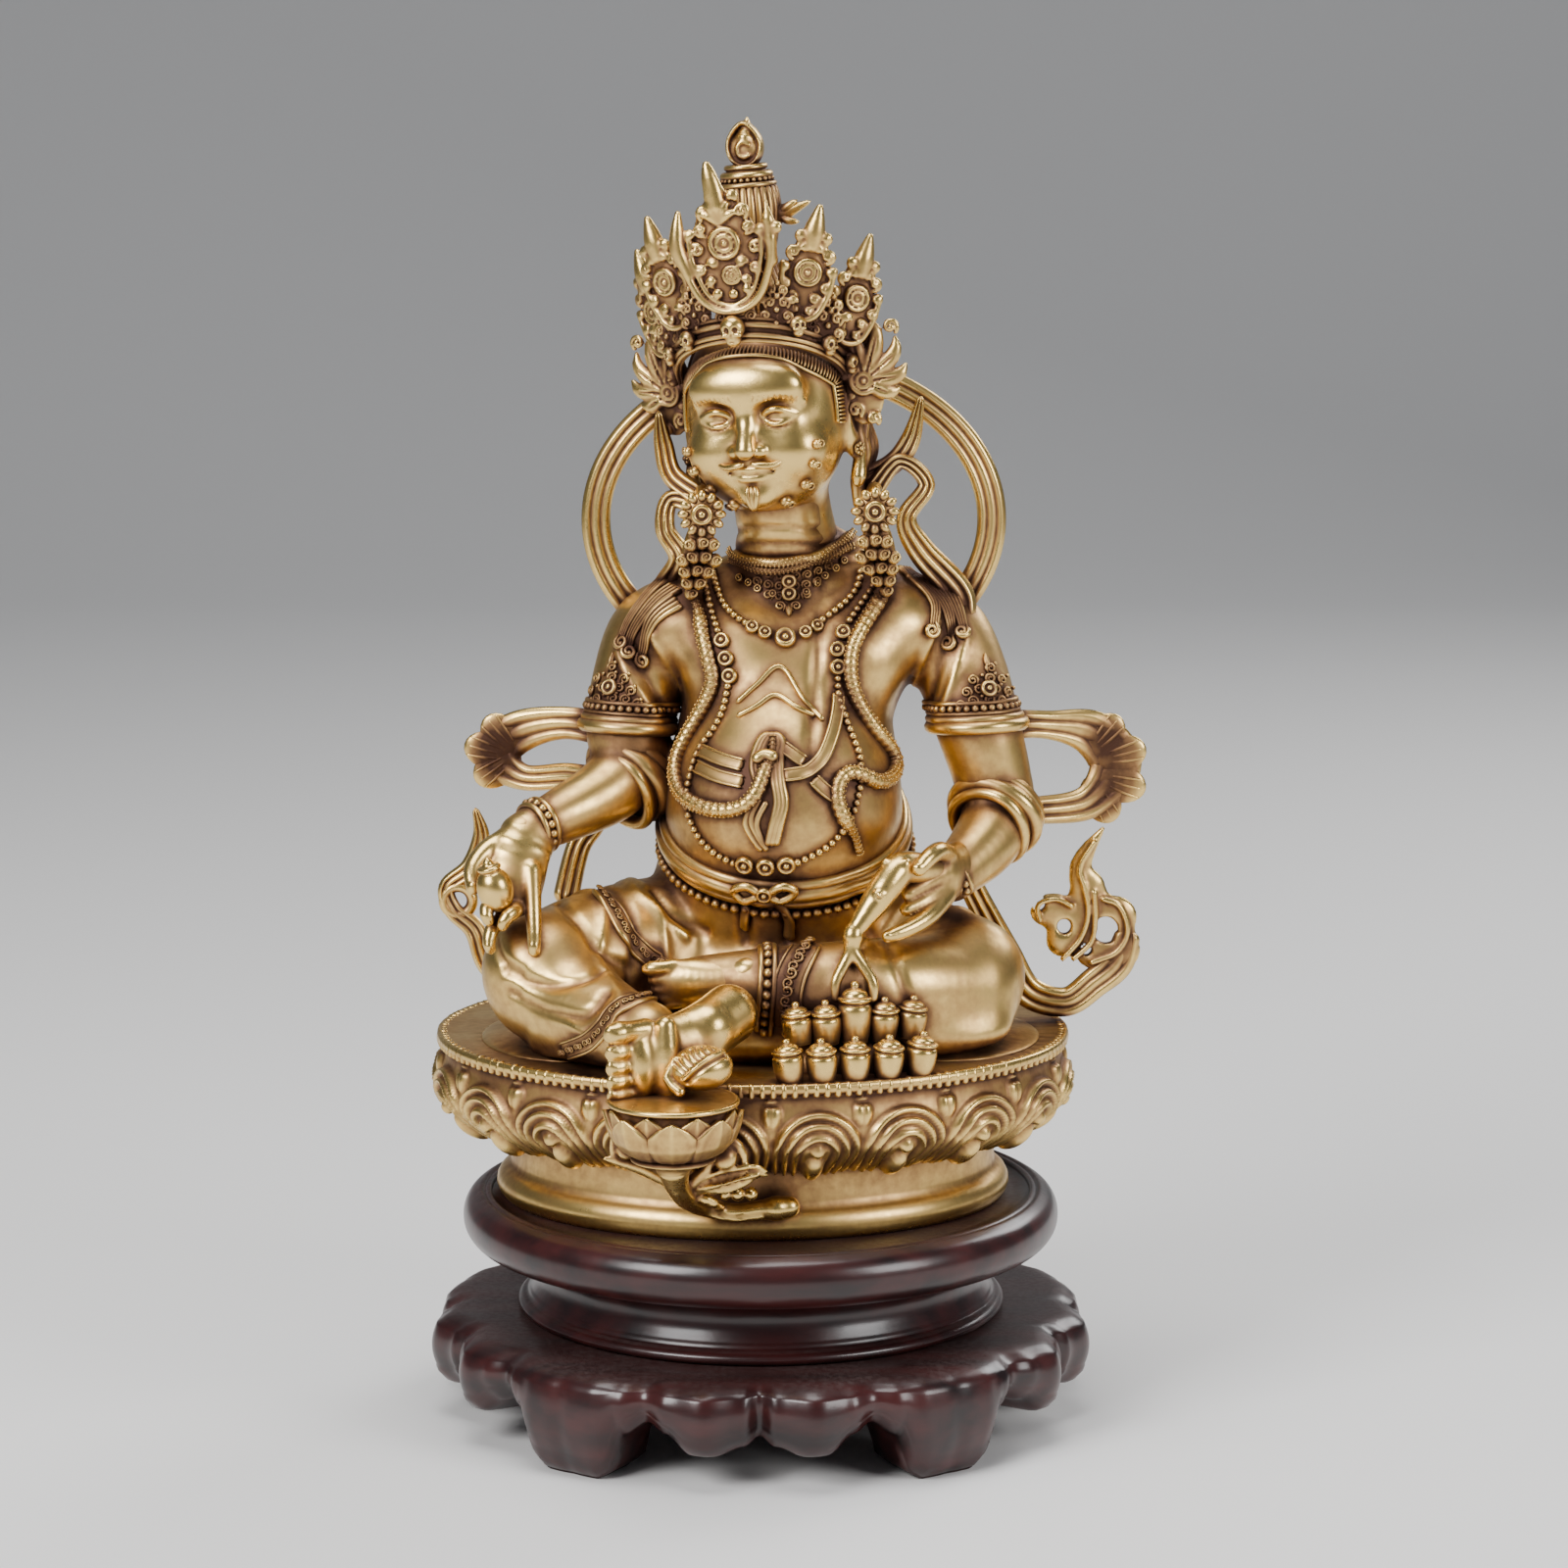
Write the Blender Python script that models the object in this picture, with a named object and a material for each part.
"""A cast and polished bronze god of wealth, seated in royal ease on a double
lotus throne, on its turned and carved hardwood stand.

Three pieces: the casting (figure, throne, scarves, jars and small foot lotus
in one), the turned top of the stand, and its carved five-footed base.
The front faces -Y, +Z is up. The origin is the middle of the box round the
whole object, on the surface that it stands on.
"""
import math

import bmesh
import bpy
import numpy as np
from mathutils import Euler, Matrix, Vector

MM = 0.001

# Carved base of the stand.
FOOT_COUNT = 5
FOOT_REACH = 93.0 * MM          # axis to the outside of the lobes
BASE_HEIGHT = 29.0 * MM         # floor to the flat top of the carved base
APRON_BOTTOM = 11.0 * MM        # floor to the lowest of the apron between feet
FOOT_HALF_ANGLE = 10.5          # degrees, half of one foot seen from above
FOOT_LENGTH = 17.0 * MM         # one foot, measured outwards from inside
BASE_BOARD = 11.0 * MM          # thickness of the board over the hollow
LOBE_WAVE = 3.6 * MM            # how far the scalloped edge goes in and out
BASE_STEPS = 16                 # sections to one foot

# Turned top of the stand.
TOP_RADIUS = 83.0 * MM          # outside of the thick rounded edge
TOP_EDGE = 16.0 * MM            # height of that edge
WAIST_RADIUS = 62.0 * MM        # narrowest of the turned waist
WAIST_HEIGHT = 17.5 * MM
RECESS_WALL = 7.0 * MM          # edge left round the sunken seat of the casting
RECESS_DEPTH = 1.6 * MM
JOINT_GAP = 0.3 * MM            # clearance between pieces that touch

# Lotus throne, cast in one with the figure.
THRONE_WIDTH = 177.0 * MM
THRONE_DEPTH = 146.0 * MM
THRONE_HEIGHT = 46.0 * MM
THRONE_X = -2.2 * MM             # the casting stands a little off the stand's axis
THRONE_PLINTH = 141.0 * MM      # width over the plain lip at the bottom
PETAL_COUNT = 20
PETAL_RISE = 3.2 * MM           # how far a petal stands off the throne
PETAL_START = 17.7 * MM         # along the edge, from the front to the first petal

# The figure itself, from the seat to the tip of the jewel on the topknot.
FIGURE_HEIGHT = 247.5 * MM
NOMINAL_HEIGHT = 247.5          # the pose below is written for this height
POSE = FIGURE_HEIGHT / NOMINAL_HEIGHT   # metres to one unit of the pose

# The pot pile and the small foot lotus stand in front, on the throne.
JAR_RADIUS = 4.1 * MM
JAR_HEIGHT = 12.5 * MM
JAR_PITCH = 8.6 * MM
JAR_ROW_COUNT = 5
JAR_ROW_X = 25.4 * MM           # middle of the rows
JAR_EDGE = 5.5 * MM             # front row to the throne's edge
FOOT_LOTUS_RADIUS = 17.0 * MM
FOOT_LOTUS_X = -22.0 * MM
FOOT_LOTUS_OUT = 13.5 * MM      # its centre, outside the throne's edge

# Mesh fineness of the casting.
VOXEL = 1.05 * MM
SOFTEN_STEPS = 4
CAST_TRIANGLES = 7100

FRONT = Vector((0.0, -1.0, 0.0))
UP = Vector((0.0, 0.0, 1.0))


class Clay:
    """Loose closed shapes that overlap, gathered in one list of faces."""

    def __init__(self):
        self.points = []
        self.faces = []

    def skin(self, rings):
        """Close a row of equal rings, with a fan at each end."""
        start = len(self.points)
        sides = len(rings[0])
        for ring in rings:
            self.points.extend(ring)
        for i in range(len(rings) - 1):
            low = start + i * sides
            for j in range(sides):
                k = (j + 1) % sides
                self.faces.append((low + j, low + k, low + sides + k, low + sides + j))
        self.faces.append(tuple(range(start + sides - 1, start - 1, -1)))
        last = start + (len(rings) - 1) * sides
        self.faces.append(tuple(range(last, last + sides)))

    def tube(self, stations, facing=FRONT, sides=12, spans=4, square=1.0, scale=POSE):
        """A limb or ribbon through stations (x, y, z, half width, half depth).

        The depth lies along facing. A square below 1 flattens the section.
        """
        rows = smooth_path([s if len(s) == 5 else (*s, s[3]) for s in stations], spans)
        path = [Vector(row[:3]) * scale for row in rows]
        rings = []
        for i, row in enumerate(rows):
            along = (path[min(i + 1, len(path) - 1)] - path[max(i - 1, 0)]).normalized()
            out = (facing - along * facing.dot(along)).normalized()
            side = out.cross(along)
            ends = {0: -1.0, len(rows) - 1: 1.0}
            caps = [(1.0, 0.0)]
            if i in ends:
                steps = [(0.86, 0.5), (0.45, 0.88)]
                caps = [(1.0, 0.0), *steps] if i else [*reversed(steps), (1.0, 0.0)]
            for size, push in caps:
                reach = min(row[3], row[4]) * scale * push * ends.get(i, 0.0)
                ring = []
                for j in range(sides):
                    turn = math.tau * j / sides
                    c, s = bent(math.cos(turn), square), bent(math.sin(turn), square)
                    ring.append(path[i] + along * reach
                                + side * (c * row[3] * scale * size)
                                + out * (s * row[4] * scale * size))
                rings.append(ring)
        self.skin(rings)

    def ball(self, centre, radii, turn=(0, 0, 0), sides=16, scale=POSE):
        """An ellipsoid, its turn in degrees about X, Y and Z."""
        frame = Matrix.Translation(Vector(centre) * scale)
        frame @= Euler([math.radians(a) for a in turn]).to_matrix().to_4x4()
        rings = []
        steps = sides // 2
        for i in range(1, steps):
            lift = math.pi * i / steps - math.pi / 2
            rings.append([frame @ (Vector((radii[0] * math.cos(lift) * math.cos(a),
                                           radii[1] * math.cos(lift) * math.sin(a),
                                           radii[2] * math.sin(lift))) * scale)
                          for a in (math.tau * j / sides for j in range(sides))])
        self.skin(rings)

    def hoop(self, centre, radii, wire, turn=(0, 0, 0), sides=24, scale=POSE):
        """A closed ring of oval wire (half width, half height) about local Z."""
        frame = Matrix.Translation(Vector(centre) * scale)
        frame @= Euler([math.radians(a) for a in turn]).to_matrix().to_4x4()
        start = len(self.points)
        around = 8
        for i in range(sides):
            a = math.tau * i / sides
            for j in range(around):
                b = math.tau * j / around
                self.points.append(frame @ (Vector((
                    (radii[0] + wire[0] * math.cos(b)) * math.cos(a),
                    (radii[1] + wire[0] * math.cos(b)) * math.sin(a),
                    wire[1] * math.sin(b))) * scale))
        for i in range(sides):
            for j in range(around):
                a, b = i * around, ((i + 1) % sides) * around
                k = (j + 1) % around
                self.faces.append(tuple(start + n for n in (a + j, b + j, b + k, a + k)))

    def lathe(self, profile, centre=(0, 0, 0), squash=1.0, sides=48):
        """Turn a profile of (radius, height), low to high, in metres."""
        x, y, z = centre
        self.skin([[Vector((x + r * math.cos(a), y + squash * r * math.sin(a), z + h))
                    for a in (math.tau * j / sides for j in range(sides))]
                   for r, h in profile])

    def plate(self, outline, thickness, frame):
        """A flat shape, its outline in local X and Z, thick along local Y."""
        rings = [[frame @ Vector((x, y, z)) for x, z in outline]
                 for y in (thickness / 2, -thickness / 2)]
        self.skin(rings)


def bent(value, power):
    """Push a cosine towards a squarer section."""
    return math.copysign(abs(value) ** power, value)


def smooth_path(stations, spans):
    """Rows along the smooth curve through the stations, any number of columns."""
    rows = np.array([stations[0], *stations, stations[-1]], float)
    rows[0] = 2 * rows[1] - rows[2]
    rows[-1] = 2 * rows[-2] - rows[-3]
    found = []
    for i in range(1, len(rows) - 2):
        a, b, c, d = rows[i - 1:i + 3]
        for t in np.arange(spans) / spans:
            found.append(0.5 * (2 * b + (c - a) * t + (2 * a - 5 * b + 4 * c - d) * t ** 2
                                + (3 * b - a - 3 * c + d) * t ** 3))
    found.append(rows[-2])
    found = np.array(found)
    found[:, 3:] = np.maximum(found[:, 3:], 0.7 * rows[1:-1, 3:].min(axis=0))
    return found


# The figure's pose, in millimetres above the seat at the nominal height.
TORSO = [(7, 9, 8, 40, 34), (7, 9, 24, 40, 34), (7, 7, 38, 36.5, 35), (6.5, 5, 50, 33, 36),
         (6.5, 4, 64, 31.5, 35.5), (6.8, 4, 76, 30.5, 33), (7.5, 6, 88, 29, 28),
         (9, 9, 100, 31, 23), (10.5, 11, 110, 35, 19), (11, 12, 118, 32, 16),
         (9.5, 11, 125, 21, 14), (8, 9, 131, 14, 13)]
NECK = [(8, 9, 122, 14, 13), (7, 6, 132, 12.8, 12.5), (5.5, 2, 142, 12.2, 12.5),
        (4, 0, 152, 12, 13)]
RIGHT_ARM = [(-20, 13, 112, 13), (-29, 12, 108, 13.2), (-34, 7, 96, 12.5),
             (-36.5, 2, 84, 11.6), (-36, -1, 74, 10.6), (-42, -8, 68, 9.4),
             (-53, -18, 63.5, 7.8), (-65, -28, 59.5, 5.8)]
LEFT_ARM = [(41, 13, 112, 13), (50, 12, 108, 13.2), (56, 8, 97, 12.5), (60, 2, 84, 11.7),
            (64, 2, 70, 10.8), (65.5, 0, 60, 10.2), (61, -9, 53, 9.2), (52, -22, 46.5, 6.8)]
RIGHT_THIGH = [(-8, 8, 20, 22, 24), (-28, -4, 23, 20), (-45, -17, 23, 18.5),
               (-56, -27, 21, 17.5)]
RIGHT_SHIN = [(-57, -29, 18, 16.5), (-48, -42, 14, 13.5), (-38, -54, 12, 11),
              (-30, -63, 12, 9)]
RIGHT_FOOT = [(-14, -66, 15, 6.5, 7), (-19, -70, 12.5, 8, 6.5), (-25, -75, 10, 8.8, 5.6),
              (-32, -80, 8.6, 8.4, 4.6)]
LEFT_THIGH = [(20, 8, 18, 22), (38, -2, 19, 20), (50, -11, 18, 18), (55, -15, 17, 17)]
LEFT_SHIN = [(55, -24, 16.5, 15), (38, -36, 19, 13.5), (18, -42, 20, 12.5), (4, -43, 21.5, 10),
             (-8, -42, 22.5, 7.5), (-18, -41, 22, 6.3), (-25, -40, 21.5, 4.2)]
RIGHT_TOES = [(-35.2, -83, 16.2, 3.5), (-36.4, -83, 11.6, 2.8), (-36.8, -83, 7.8, 2.6),
              (-36.8, -82.5, 4.4, 2.4), (-36.2, -82, 1.5, 2.2)]

RIGHT_FINGERS = [[(-72, -40, 46, 2.6), (-74, -44, 40, 2.3), (-72.3, -47, 42, 1.9)],
                 [(-68, -41, 44, 2.6), (-68.5, -46, 37.5, 2.4), (-68.6, -48, 40.5, 2.0)],
                 [(-62, -37, 52, 2.8), (-61.2, -42, 43, 2.5), (-60.6, -46, 34, 2.1)],
                 [(-73, -33, 56, 2.6), (-77, -38, 52, 2.3), (-75.6, -42, 47, 2.0)]]
LEFT_FINGERS = [[(51, -31, 53, 2.8), (47.5, -39, 56, 2.4), (42.5, -43, 53.5, 2.1)],
                [(48, -33, 47, 2.8), (41, -41, 46, 2.4), (35, -44, 44, 2.0)],
                [(49, -33, 41.5, 2.8), (44, -41, 38.5, 2.4), (38, -45, 37, 2.0)],
                [(48, -29, 38, 2.6), (41, -38, 33.5, 2.2), (34.5, -43, 33, 1.9)]]
MONGOOSE = [(44, -33, 51, 4.6), (38.5, -38.5, 53.5, 5.8), (33.6, -43, 49.5, 5.6),
            (29, -46.5, 43, 4.4), (26, -49, 37.5, 2.8)]
JEWEL_STREAM = [[(25.8, -49, 38, 2.4), (24.6, -50, 32.5, 2.0), (22, -52, 27, 2),
                 (20.2, -53.5, 19, 2)],
                [(25.4, -49.5, 35, 2.2), (25.2, -50, 32, 2.0), (28.6, -52, 26.5, 2),
                 (31, -53.5, 19, 2)]]

# Scarves: flat ribbons, with half the width in the plane of the front first.
RIGHT_WING = [(-38, 5, 82, 5, 2.2), (-54, 10, 84, 4.6, 1.8), (-67, 13, 81, 6, 1.6),
              (-73.5, 14, 74.5, 6.4, 1.6), (-66, 12, 68.5, 3.8, 1.8), (-53, 7, 69.5, 3.8, 2),
              (-42, -1, 69, 4, 2.2)]
LEFT_WING = [(62, 4, 84.5, 4.6, 2.2), (79, 10, 83.5, 4, 1.8), (92, 13, 80.5, 6.6, 1.6),
             (98.5, 14, 71.5, 7.4, 1.6), (91, 12, 61.5, 5, 1.8), (77, 7, 60, 4, 2),
             (65, 0, 61, 4.6, 2.2)]
LEFT_TRAIL = [(55, 3, 46, 3.4, 2), (61, 4, 34, 3.6, 2), (68, 7, 20, 4.2, 2), (74.5, 8, 8.5, 4.4, 2),
              (85, 8, 5.5, 4.2, 1.8), (93, 8, 11, 4.4, 1.8), (99.5, 8, 17, 4.6, 1.8),
              (102.5, 8, 26, 3.4, 1.8), (97, 8, 31, 3.2, 1.8), (91, 8, 37, 2.8, 1.6),
              (92, 8, 44, 2.2, 1.4), (95.7, 8, 50.5, 0.7, 0.9)]
LEFT_TRAIL_LOBE = [(95, 8, 12, 3, 1.8), (88, 8, 15.5, 3, 1.8), (81, 8, 22, 3, 1.8),
                   (80, 8, 29.5, 2.6, 1.8), (86.5, 8, 29, 2.6, 1.8), (91.5, 8, 23.5, 2.6, 1.8),
                   (96, 8, 16, 2.4, 1.8)]
RIGHT_TRAIL = [(-54, -16, 10, 3.6, 3), (-64, -9, 11, 3.6, 2.4), (-75, -4, 18, 3, 2), (-79, -2, 28, 3, 1.8),
               (-85, -1, 33.5, 2.6, 1.6), (-86.5, -1, 40, 2.4, 1.6), (-80, -1, 45.5, 2.8, 1.6),
               (-77, -1, 54, 2.4, 1.6), (-78.6, -1, 62, 0.8, 1)]
RIGHT_TIE = [(-43, -3, 66, 3, 2.4), (-46, 3, 57, 3.2, 2.4), (-50.5, 3, 50, 3.4, 2.4),
             (-54, -6, 36, 3.6, 2.6)]
NECK_SCARVES = [[(-16, 0, 148, 3.4, 2.4), (-24, 4, 153.5, 3, 2), (-26.5, 6, 162, 2.6, 1.8),
                 (-27.8, 6, 171, 0.9, 1)],
                [(-17, 0, 146, 3, 2), (-24.5, 3, 147, 2.6, 2), (-26, 2, 139, 2.8, 2),
                 (-22, 2, 131, 3.2, 2), (-26, 8, 121, 4.2, 2.6), (-28, 5, 113, 3.4, 2)],
                [(27, 2, 152, 3.4, 2.4), (36, 5, 156.5, 3, 2), (41, 6, 163, 2.8, 1.8),
                 (44, 6, 175, 0.9, 1)],
                [(30, 0, 149, 3, 2), (38, 4, 157.5, 2.2, 2), (45.5, 5, 151, 2.4, 2),
                 (40, 3, 142, 2.8, 2), (44, 5, 133, 3.8, 2.6), (54, 8, 121, 4.4, 2.6),
                 (56, 6, 113, 3.4, 2)]]
RING_CENTRE = (9.2, 15.5, 140.0)
RING_RADII = (54.6, 42.4)       # middle of the ribbon
RING_HALF = (4.0, 1.7)
RING_END = 126                  # degrees from the top to each shoulder

# Ornament that stands well off the body: belt, bands, snake and cords.
BELT = ((6.5, 2.0, 58.5), (34.6, 39.0), (2.6, 3.2), (22, 0, 0))
ARM_BANDS = [((-36.4, 2.4, 85.5), (12.0, 11.6), (1.8, 2.2), (-14, 14, 0)),
             ((59.8, 2.4, 86), (12.2, 11.8), (1.8, 2.2), (-12, -10, 0))]
WRIST_BANDS = [((-63, -26.5, 60.2), (6.8, 6.8), (1.5, 1.8), (-38, -62, 0)),
               ((53.5, -20, 47.6), (8, 8), (1.5, 1.8), (-38, 56, 0))]
SNAKE = [(-13, -7, 121, 1.8), (-14, -11, 106, 1.9), (-11, -17, 92, 1.9), (-17, -20, 79, 2),
         (-24, -15, 67, 2), (-19, -26, 56.5, 2.1), (-8, -33.5, 52.5, 2.2), (0, -35.5, 58, 2.2),
         (3, -34.5, 68, 2.2), (4.5, -33.5, 74, 2.8)]
SNAKE_TAIL = [(31, -5, 122, 1.8), (29, -11, 108, 1.9), (27, -16, 92, 1.9), (31, -18, 80, 2),
              (37.5, -13, 67, 2), (33, -21, 61, 2), (26.5, -28, 60.5, 1.9), (24.5, -30, 53, 1.7),
              (27.5, -29.5, 45, 1.3), (29, -29.5, 39, 0.9)]

# Head parts, in millimetres from the middle of the head, in the head's frame.
HEAD_CENTRE = (2.5, -1.0, 168.0)
HEAD_TURN = (0.0, -5.0, -6.0)   # the crown leans and turns to the figure's right
CROWN_BAND = ((0, 0, 23), (24.5, 25.5), (1.8, 3.6), (-16, 0, 0))
CROWN_LEAVES = [  # turn about the head, height, width, outward lean
    (0, 41.0, 28.0, 2.0), (-46, 33.0, 17.0, 16.0), (46, 33.0, 17.0, 12.0),
    (-88, 31.0, 16.0, 22.0), (88, 31.0, 16.0, 14.0)]
LEAF_THICKNESS = 3.4
TOPKNOT = [(11.0, 18), (9.0, 36), (6.6, 44), (6.2, 50), (7.6, 60), (8.2, 66), (7.0, 69),
           (4.0, 70)]
JEWEL = ((0, 5.5, 74.5), (4.9, 3.2, 6.2))


def head_frame():
    """The head's own frame, in metres."""
    turn = Euler([math.radians(a) for a in HEAD_TURN]).to_matrix().to_4x4()
    return Matrix.Translation(Vector(HEAD_CENTRE) * POSE) @ turn


def leaf_outline(width, height):
    """A flame-shaped crown leaf: round shoulders under a narrow spike."""
    steps = 9
    right = []
    for i in range(steps + 1):
        t = i / steps
        body = math.sin(math.pi * min(1.0, 0.16 + t * 1.02)) ** 0.7 if t < 0.72 else 0.0
        spike = 0.26 * (1 - t) / 0.28
        share = max(body * 0.5, min(0.13, spike * 0.5))
        right.append((width * share, height * t))
    left = [(-x, z) for x, z in reversed(right)]
    return right + left


def add_head(clay):
    """Head, hair, ears, crown, topknot and jewel."""
    scale = POSE
    frame = head_frame()
    local = Clay()
    local.ball((0, 3, 8), (21, 23, 24))
    local.ball((1, -4, -9), (16.5, 16.5, 14))
    local.ball((0, -20, -1), (3.0, 6, 6))
    local.ball((0, 5, 16), (24, 24.5, 17))
    for side in (-1, 1):
        local.ball((side * 22, 3, -2), (3.0, 5.5, 12))
        local.ball((side * 23, 4, 12), (5, 7, 14))
        local.tube([(side * 23, 2, 6, 4, 3.5), (side * 28, 1, 17, 6, 3), (side * 32, 0, 27, 7, 2)])
    local.hoop(*CROWN_BAND)
    local.lathe([(r * scale, z * scale) for r, z in TOPKNOT], (0, 5 * scale, 0), sides=16)
    local.tube([(7, 5, 58, 2.4), (12, 5, 60, 1.8), (16, 5, 61.5, 0.8)], sides=8)
    local.ball(*JEWEL)
    slope = math.tan(math.radians(CROWN_BAND[3][0]))
    for turn, height, width, lean in CROWN_LEAVES:
        a = math.radians(turn)
        base = Vector((CROWN_BAND[1][0] * math.sin(a), -CROWN_BAND[1][1] * math.cos(a), 0))
        base.z = CROWN_BAND[0][2] + base.y * slope
        spot = Matrix.Translation(base * scale) @ Matrix.Rotation(a, 4, "Z")
        spot @= Matrix.Rotation(math.radians(lean), 4, "X")
        outline = [(x * scale, z * scale) for x, z in leaf_outline(width, height)]
        local.plate(outline, LEAF_THICKNESS * scale, spot)
        boss = spot @ Vector((0, -LEAF_THICKNESS * scale / 2, height * 0.42 * scale))
        local.ball(boss / scale, (width * 0.2, 2, width * 0.2))
    start = len(clay.points)
    clay.points.extend(frame @ p for p in local.points)
    clay.faces.extend(tuple(start + i for i in f) for f in local.faces)


def add_body(clay):
    """Torso, limbs, feet and hands."""
    clay.tube(TORSO, sides=28)
    clay.tube(NECK, sides=16)
    for limb in (RIGHT_ARM, LEFT_ARM, RIGHT_THIGH, RIGHT_SHIN, LEFT_THIGH, LEFT_SHIN):
        clay.tube(limb, sides=16)
    clay.tube(RIGHT_FOOT, sides=12)
    for x, y, z, r in RIGHT_TOES:
        clay.ball((x, y, z), (r, r * 1.5, r), sides=8)
    clay.ball((8, -12, 12), (36, 26, 15))
    clay.ball((-68, -36, 51), (7.5, 5.5, 9), turn=(20, -10, 0))
    clay.ball((-71.2, -43.5, 48.5), (4.6, 4.6, 6.2), sides=12)
    clay.ball((46.5, -30, 43), (7.5, 8, 7))
    for finger in RIGHT_FINGERS + LEFT_FINGERS:
        clay.tube(finger, sides=8)


def add_scarves(clay):
    """The ring behind the head, the elbow wings and the trailing ends."""
    cx, cy, cz = RING_CENTRE
    rx, rz = RING_RADII
    arc = np.radians(np.linspace(-RING_END, RING_END, 17))
    ring = [(cx + rx * math.sin(a), cy, cz + rz * math.cos(a), *RING_HALF) for a in arc]
    for ribbon in [ring, RIGHT_WING, LEFT_WING, LEFT_TRAIL, LEFT_TRAIL_LOBE, RIGHT_TRAIL,
                   RIGHT_TIE, *NECK_SCARVES]:
        clay.tube(ribbon, sides=10, spans=3, square=0.6)
    clay.hoop((-83.5, -1, 36), (3.9, 3.9), (1.6, 1.8), (90, 0, 0), sides=14)
    clay.hoop((98.3, 8, 22), (4.2, 4.2), (1.9, 1.8), (90, 0, 0), sides=14)


def add_ornament(clay):
    """Belt, arm and wrist bands, earrings, the snake and the mongoose."""
    for band in [BELT, *ARM_BANDS, *WRIST_BANDS]:
        clay.hoop(*band, sides=28)
    clay.tube(SNAKE, sides=8, spans=3)
    clay.tube(SNAKE_TAIL, sides=8, spans=3)
    clay.tube([(4.5, -33.5, 74, 2.8), (4.5, -35.5, 66, 2.6), (4.2, -36, 54, 2.8),
               (5, -35, 44, 1.6)], sides=8)
    clay.ball((-15.7, -15, 145), (6.3, 3, 6.3))
    clay.ball((31, -15, 145.6), (6.3, 3, 6.3))
    clay.tube([(-16, -14, 139, 4.6, 2.6), (-18, -12, 130, 4.4, 2.6), (-19, -5, 121, 2.4, 3)])
    clay.tube([(31.5, -14, 139, 4.6, 2.6), (33.5, -11, 131, 4.4, 2.6), (36, -3, 122, 2.4, 3)])
    clay.tube([(-18.5, -4, 156, 2.4), (-17, -10, 151, 2.4), (-16, -14, 147, 2.4)], sides=8)
    clay.tube([(27, -3, 156, 2.4), (29.5, -10, 151, 2.4), (31, -14, 147, 2.4)], sides=8)
    clay.tube([(-25, 4, 130, 2.6), (-18, -11, 131, 2.4)], sides=8)
    clay.tube([(44, 5, 130, 2.6), (33, -10, 131, 2.4)], sides=8)
    clay.tube(MONGOOSE, sides=12)
    for stream in JEWEL_STREAM:
        clay.tube(stream, sides=8)


def throne_edge(angle, inset=0.0):
    """A point on the throne's edge, the angle from the front towards +X."""
    return (THRONE_X + math.sin(angle) * (THRONE_WIDTH / 2 - inset),
            -math.cos(angle) * (THRONE_DEPTH / 2 - inset))


def petal_turns():
    """Angles of the petals, evenly spaced along the throne's edge."""
    fine = np.linspace(0, math.tau, 3601)
    spots = np.array([throne_edge(a) for a in fine])
    run = np.concatenate([[0], np.cumsum(np.linalg.norm(np.diff(spots, axis=0), axis=1))])
    places = (PETAL_START + run[-1] * np.arange(PETAL_COUNT) / PETAL_COUNT) % run[-1]
    return [float(a) for a in np.interp(places, run, fine)]


def front_edge(x):
    """Where the throne's front edge is at this x."""
    return -THRONE_DEPTH / 2 * math.sqrt(1 - ((x - THRONE_X) / (THRONE_WIDTH / 2)) ** 2)


def add_throne(clay):
    """The oval lotus throne: plain lip, neck, one row of petals and a flat top."""
    wide = THRONE_WIDTH / 2
    lip = THRONE_PLINTH / 2
    high = THRONE_HEIGHT
    profile = [(lip, 0), (lip * 1.01, 0.08 * high), (lip * 0.99, 0.17 * high),
               (lip * 0.965, 0.22 * high), (lip * 0.955, 0.40 * high), (lip * 1.02, 0.45 * high),
               (wide * 0.91, 0.54 * high), (wide * 0.975, 0.68 * high),
               (wide * 0.975, 0.84 * high), (wide * 0.97, 0.91 * high), (wide, 0.95 * high),
               (wide, 0.99 * high), (wide * 0.98, high)]
    squash = THRONE_DEPTH / THRONE_WIDTH
    clay.lathe(profile, (THRONE_X, 0, 0), squash=squash, sides=72)
    half = math.pi * (wide + THRONE_DEPTH / 2) / PETAL_COUNT / 2
    for angle in petal_turns():
        x, y = throne_edge(angle, 0.075 * wide)
        normal = math.atan2(math.sin(angle) * THRONE_DEPTH, math.cos(angle) * THRONE_WIDTH)
        clay.ball((x, y, 0.64 * high), (half * 0.94, PETAL_RISE * 1.8, 0.25 * high),
                  turn=(-10, 0, math.degrees(normal)), sides=16, scale=1.0)


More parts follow.
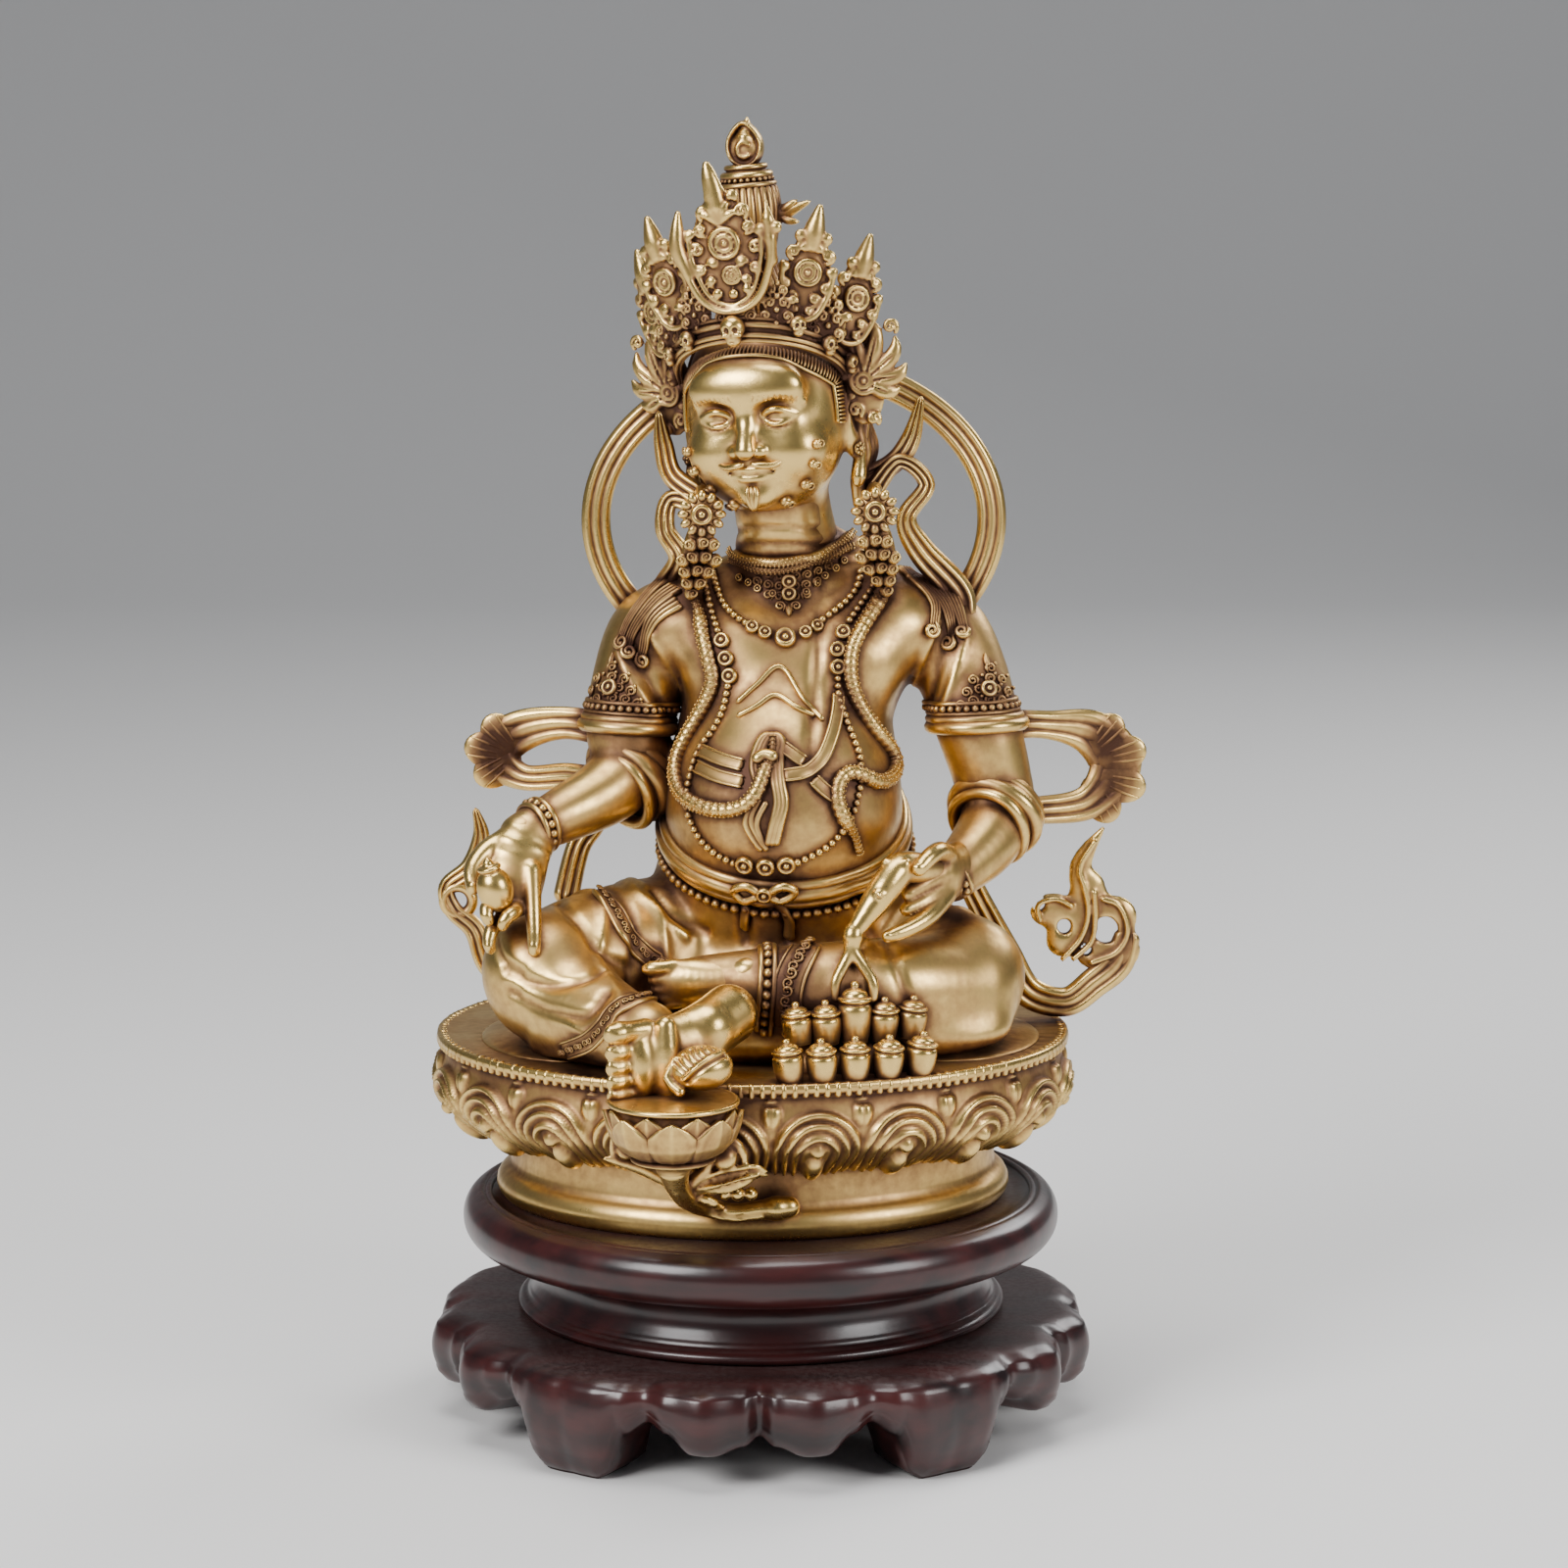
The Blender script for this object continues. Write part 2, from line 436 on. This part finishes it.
def add_offerings(clay):
    """The pile of jewel pots and the small lotus under the pendant foot."""
    seat = THRONE_HEIGHT
    front = THRONE_DEPTH / 2
    jar = [(0.8, 0), (0.93, 0.25), (1.0, 0.56), (0.86, 0.64), (0.94, 0.70), (0.82, 0.84),
           (0.35, 0.96)]
    rows = [(JAR_EDGE, -0.04, JAR_PITCH, (1, 1, 1, 1, 1)),
            (JAR_EDGE + 2.1 * JAR_RADIUS, 0.68, JAR_PITCH * 0.86, (0.95, 1.0, 1.45, 1.0, 0.95))]
    for inset, lift, pitch, sizes in rows:
        for i in range(JAR_ROW_COUNT):
            x = JAR_ROW_X + (i - (JAR_ROW_COUNT - 1) / 2) * pitch
            y = front_edge(x) + inset
            size = sizes[i % len(sizes)]
            clay.lathe([(r * JAR_RADIUS * min(size, 1.15), (h * size + lift) * JAR_HEIGHT)
                        for r, h in jar], (x, y, seat), sides=10)
    pile = JAR_EDGE + 2.3 * JAR_RADIUS
    clay.ball((JAR_ROW_X, -front * 0.96 + pile, seat), (JAR_PITCH * 2, JAR_RADIUS * 1.6,
                                                        JAR_HEIGHT * 0.8), scale=1.0)
    y = front_edge(FOOT_LOTUS_X) - FOOT_LOTUS_OUT
    bowl = FOOT_LOTUS_RADIUS
    cup = [(0.12, -2.1), (0.16, -1.8), (0.3, -1.35), (0.4, -1.15), (0.68, -1.12),
           (0.68, -1.02), (0.5, -0.98), (0.76, -0.8), (0.93, -0.5), (0.97, -0.25), (1.0, 0.0),
           (0.9, 0.06)]
    clay.lathe([(r * bowl, h * bowl) for r, h in cup], (FOOT_LOTUS_X, y, seat), sides=24)
    conch = (FOOT_LOTUS_X + 0.42 * bowl, y - 0.08 * bowl, seat + 0.4 * bowl)
    clay.ball(conch, (0.52 * bowl, 0.42 * bowl, 0.4 * bowl), turn=(0, -12, 0), scale=1.0)
    low = -THRONE_DEPTH / 2 * THRONE_PLINTH / THRONE_WIDTH
    stem = [(FOOT_LOTUS_X, y, seat - 1.3 * bowl, 0.4 * bowl),
            (FOOT_LOTUS_X + 0.05 * bowl, y + 0.45 * bowl, seat - 1.75 * bowl, 0.24 * bowl),
            (FOOT_LOTUS_X + 0.45 * bowl, low - 0.12 * bowl, seat - 2.3 * bowl, 0.2 * bowl),
            (FOOT_LOTUS_X + 1.5 * bowl, low - 0.04 * bowl, seat - 2.52 * bowl, 0.17 * bowl)]
    clay.tube(stem, sides=10, scale=1.0)
    leaf = [(FOOT_LOTUS_X + 0.3 * bowl, y + 0.5 * bowl, seat - 2.0 * bowl, 0.3 * bowl, 0.15 * bowl),
            (FOOT_LOTUS_X + 0.85 * bowl, y + 0.55 * bowl, seat - 1.45 * bowl, 0.5 * bowl,
             0.25 * bowl),
            (FOOT_LOTUS_X + 1.25 * bowl, y + 0.7 * bowl, seat - 1.3 * bowl, 0.3 * bowl,
             0.3 * bowl)]
    clay.tube(leaf, sides=10, scale=1.0)
    bud = [(FOOT_LOTUS_X - 0.1 * bowl, y + 0.5 * bowl, seat - 2.0 * bowl, 0.12 * bowl),
           (FOOT_LOTUS_X - 0.6 * bowl, y + 0.65 * bowl, seat - 1.5 * bowl, 0.15 * bowl),
           (FOOT_LOTUS_X - 0.75 * bowl, y + 0.8 * bowl, seat - 1.1 * bowl, 0.28 * bowl)]
    clay.tube(bud, sides=10, scale=1.0)
    for x, wide, deep in ((-50, 30, 40), (50, 30, 38)):
        clay.ball((x * MM, -0.2 * front, seat), (wide * MM, deep * MM, 2.6 * MM), scale=1.0)


def raise_to_seat(clay, height):
    """Lift a figure modelled from its seat onto the throne."""
    clay.points = [p + UP * height for p in clay.points]


def material(name, colour, roughness, metallic):
    """A plain finish, read from the object itself."""
    finish = bpy.data.materials.new(name)
    finish.use_nodes = True
    shader = finish.node_tree.nodes["Principled BSDF"]
    shader.inputs["Base Color"].default_value = (*colour, 1.0)
    shader.inputs["Roughness"].default_value = roughness
    shader.inputs["Metallic"].default_value = metallic
    return finish


def new_object(name, clay, finish):
    """An object with the clay's faces and one finish."""
    mesh = bpy.data.meshes.new(name)
    mesh.from_pydata([tuple(p) for p in clay.points], [], clay.faces)
    mesh.validate()
    mesh.materials.append(finish)
    obj = bpy.data.objects.new(name, mesh)
    bpy.context.scene.collection.objects.link(obj)
    return obj


def largest_body(mesh):
    """Keep the mesh's largest connected body, without specks left by the melt."""
    work = bmesh.new()
    work.from_mesh(mesh)
    left = set(work.verts)
    bodies = []
    while left:
        start = left.pop()
        body = [start]
        for vert in body:
            for edge in vert.link_edges:
                other = edge.other_vert(vert)
                if other in left:
                    left.remove(other)
                    body.append(other)
        bodies.append(body)
    bodies.sort(key=len)
    bmesh.ops.delete(work, geom=[v for body in bodies[:-1] for v in body], context="VERTS")
    work.to_mesh(mesh)
    work.free()


def cast_in_one(obj):
    """Melt the overlapping shapes into one skin, then thin its facets."""
    melt = obj.modifiers.new("melt", "REMESH")
    melt.mode = "VOXEL"
    melt.voxel_size = VOXEL
    soften = obj.modifiers.new("soften", "SMOOTH")
    soften.factor = 0.5
    soften.iterations = SOFTEN_STEPS
    graph = bpy.context.evaluated_depsgraph_get()
    skin = bpy.data.meshes.new_from_object(obj.evaluated_get(graph))
    obj.modifiers.clear()
    largest_body(skin)
    obj.data = skin
    thin = obj.modifiers.new("thin", "DECIMATE")
    thin.ratio = CAST_TRIANGLES / (2 * len(skin.polygons))


def make_casting(finish, seat):
    """The figure on its throne, cast in one, resting on the stand."""
    figure = Clay()
    add_body(figure)
    add_head(figure)
    add_scarves(figure)
    add_ornament(figure)
    raise_to_seat(figure, THRONE_HEIGHT)
    add_throne(figure)
    add_offerings(figure)
    obj = new_object("bronze_figure", figure, finish)
    obj.location.z = seat + JOINT_GAP
    cast_in_one(obj)
    return obj


def make_stand_top(finish):
    """The turned top: sunken seat, thick rounded edge and hollowed waist."""
    edge = TOP_EDGE
    low = WAIST_HEIGHT
    rim = TOP_RADIUS
    foot = WAIST_RADIUS + 4.5 * MM
    inner = rim - RECESS_WALL
    profile = [(foot, 0), (foot, 2.0 * MM), (WAIST_RADIUS + 1 * MM, 0.3 * low),
               (WAIST_RADIUS, 0.55 * low), (WAIST_RADIUS + 3 * MM, 0.85 * low),
               (rim - 9 * MM, low), (rim - 3 * MM, low + 0.14 * edge), (rim, low + 0.42 * edge),
               (rim - 0.8 * MM, low + 0.7 * edge), (rim - 4 * MM, low + edge),
               (inner, low + edge - 0.2 * MM), (inner - 0.4 * MM, low + edge - RECESS_DEPTH)]
    clay = Clay()
    clay.lathe(profile, sides=48)
    obj = new_object("stand_top", clay, finish)
    obj.location.z = BASE_HEIGHT + JOINT_GAP
    return obj


def between(value, knots):
    """Read a smooth curve given as rows of (place, height)."""
    for (a, low), (b, high) in zip(knots, knots[1:]):
        if value <= b:
            t = (value - a) / (b - a)
            return low + (high - low) * t * t * (3 - 2 * t)
    return knots[-1][1]


def make_stand_base(finish):
    """The carved base: a scalloped board with hanging lobes, on five feet."""
    period = 360.0 / FOOT_COUNT
    foot = period / 2
    flank = foot - FOOT_HALF_ANGLE
    reach = FOOT_REACH
    wave = LOBE_WAVE
    edge_curve = [(0, reach - 1.7 * wave), (0.28 * foot, reach - 0.2 * wave),
                  (0.55 * foot, reach - 1.3 * wave), (0.8 * foot, reach),
                  (foot, reach - 0.7 * wave)]
    hem_curve = [(0, APRON_BOTTOM + 2.6 * MM), (0.28 * foot, APRON_BOTTOM),
                 (flank - 2.5, APRON_BOTTOM + 5.5 * MM), (flank + 3.5, 0.0), (foot, 0.0)]
    hip_curve = [(0, 0.0), (flank - 4.0, 0.0), (flank + 3.5, 1.0), (foot, 1.0)]
    steps = BASE_STEPS * FOOT_COUNT
    inside = reach - FOOT_LENGTH - 6 * MM
    top = BASE_HEIGHT
    rings = []
    for i in range(steps):
        angle = math.tau * i / steps
        place = abs((math.degrees(angle) + period / 2) % period - period / 2)
        edge = between(place, edge_curve)
        hem = between(place, hem_curve)
        hip = between(place, hip_curve)
        section = [(0.3 * MM, top), (edge - 13 * MM, top - 0.6 * MM),
                   (edge - 3.0 * MM, top - 4.5 * MM), (edge, top - 9 * MM),
                   (edge - 2.5 * MM, 0.6 * hem + 0.4 * (top - 9 * MM)),
                   (edge - 6.5 * MM - 1.5 * MM * hip, hem + 0.8 * MM),
                   (edge - 9.0 * MM, hem), (inside, hem),
                   (inside - 2 * MM, top - BASE_BOARD), (0.3 * MM, top - BASE_BOARD)]
        rings.append([Vector((r * math.sin(angle), -r * math.cos(angle), z))
                      for r, z in section])
    clay = Clay()
    count = len(rings[0])
    clay.points = [p for ring in rings for p in ring]
    for i in range(steps):
        a, b = i * count, ((i + 1) % steps) * count
        for j in range(count - 1):
            clay.faces.append((a + j, a + j + 1, b + j + 1, b + j))
    clay.faces.append(tuple(i * count for i in range(steps)))
    clay.faces.append(tuple(i * count + count - 1 for i in reversed(range(steps))))
    return new_object("stand_base", clay, finish)


def centre_on_box(objects):
    """Bring the middle of the whole box over the origin."""
    bpy.context.view_layer.update()
    graph = bpy.context.evaluated_depsgraph_get()
    spots = []
    for obj in objects:
        mesh = obj.evaluated_get(graph).data
        spots.extend(obj.matrix_world @ v.co for v in mesh.vertices)
    low = [min(p[k] for p in spots) for k in range(2)]
    high = [max(p[k] for p in spots) for k in range(2)]
    axis = bpy.data.objects.new("axis", None)
    bpy.context.scene.collection.objects.link(axis)
    axis.location = (-(low[0] + high[0]) / 2, -(low[1] + high[1]) / 2, 0)
    for obj in objects:
        obj.parent = axis


def main():
    """Build the three pieces."""
    for obj in list(bpy.data.objects):
        bpy.data.objects.remove(obj)
    bronze = material("polished_bronze", (0.62, 0.42, 0.17), 0.28, 1.0)
    wood = material("dark_hardwood", (0.035, 0.010, 0.012), 0.25, 0.0)
    base = make_stand_base(wood)
    top = make_stand_top(wood)
    seat = BASE_HEIGHT + JOINT_GAP + WAIST_HEIGHT + TOP_EDGE - RECESS_DEPTH
    figure = make_casting(bronze, seat)
    centre_on_box([figure, top, base])


main()
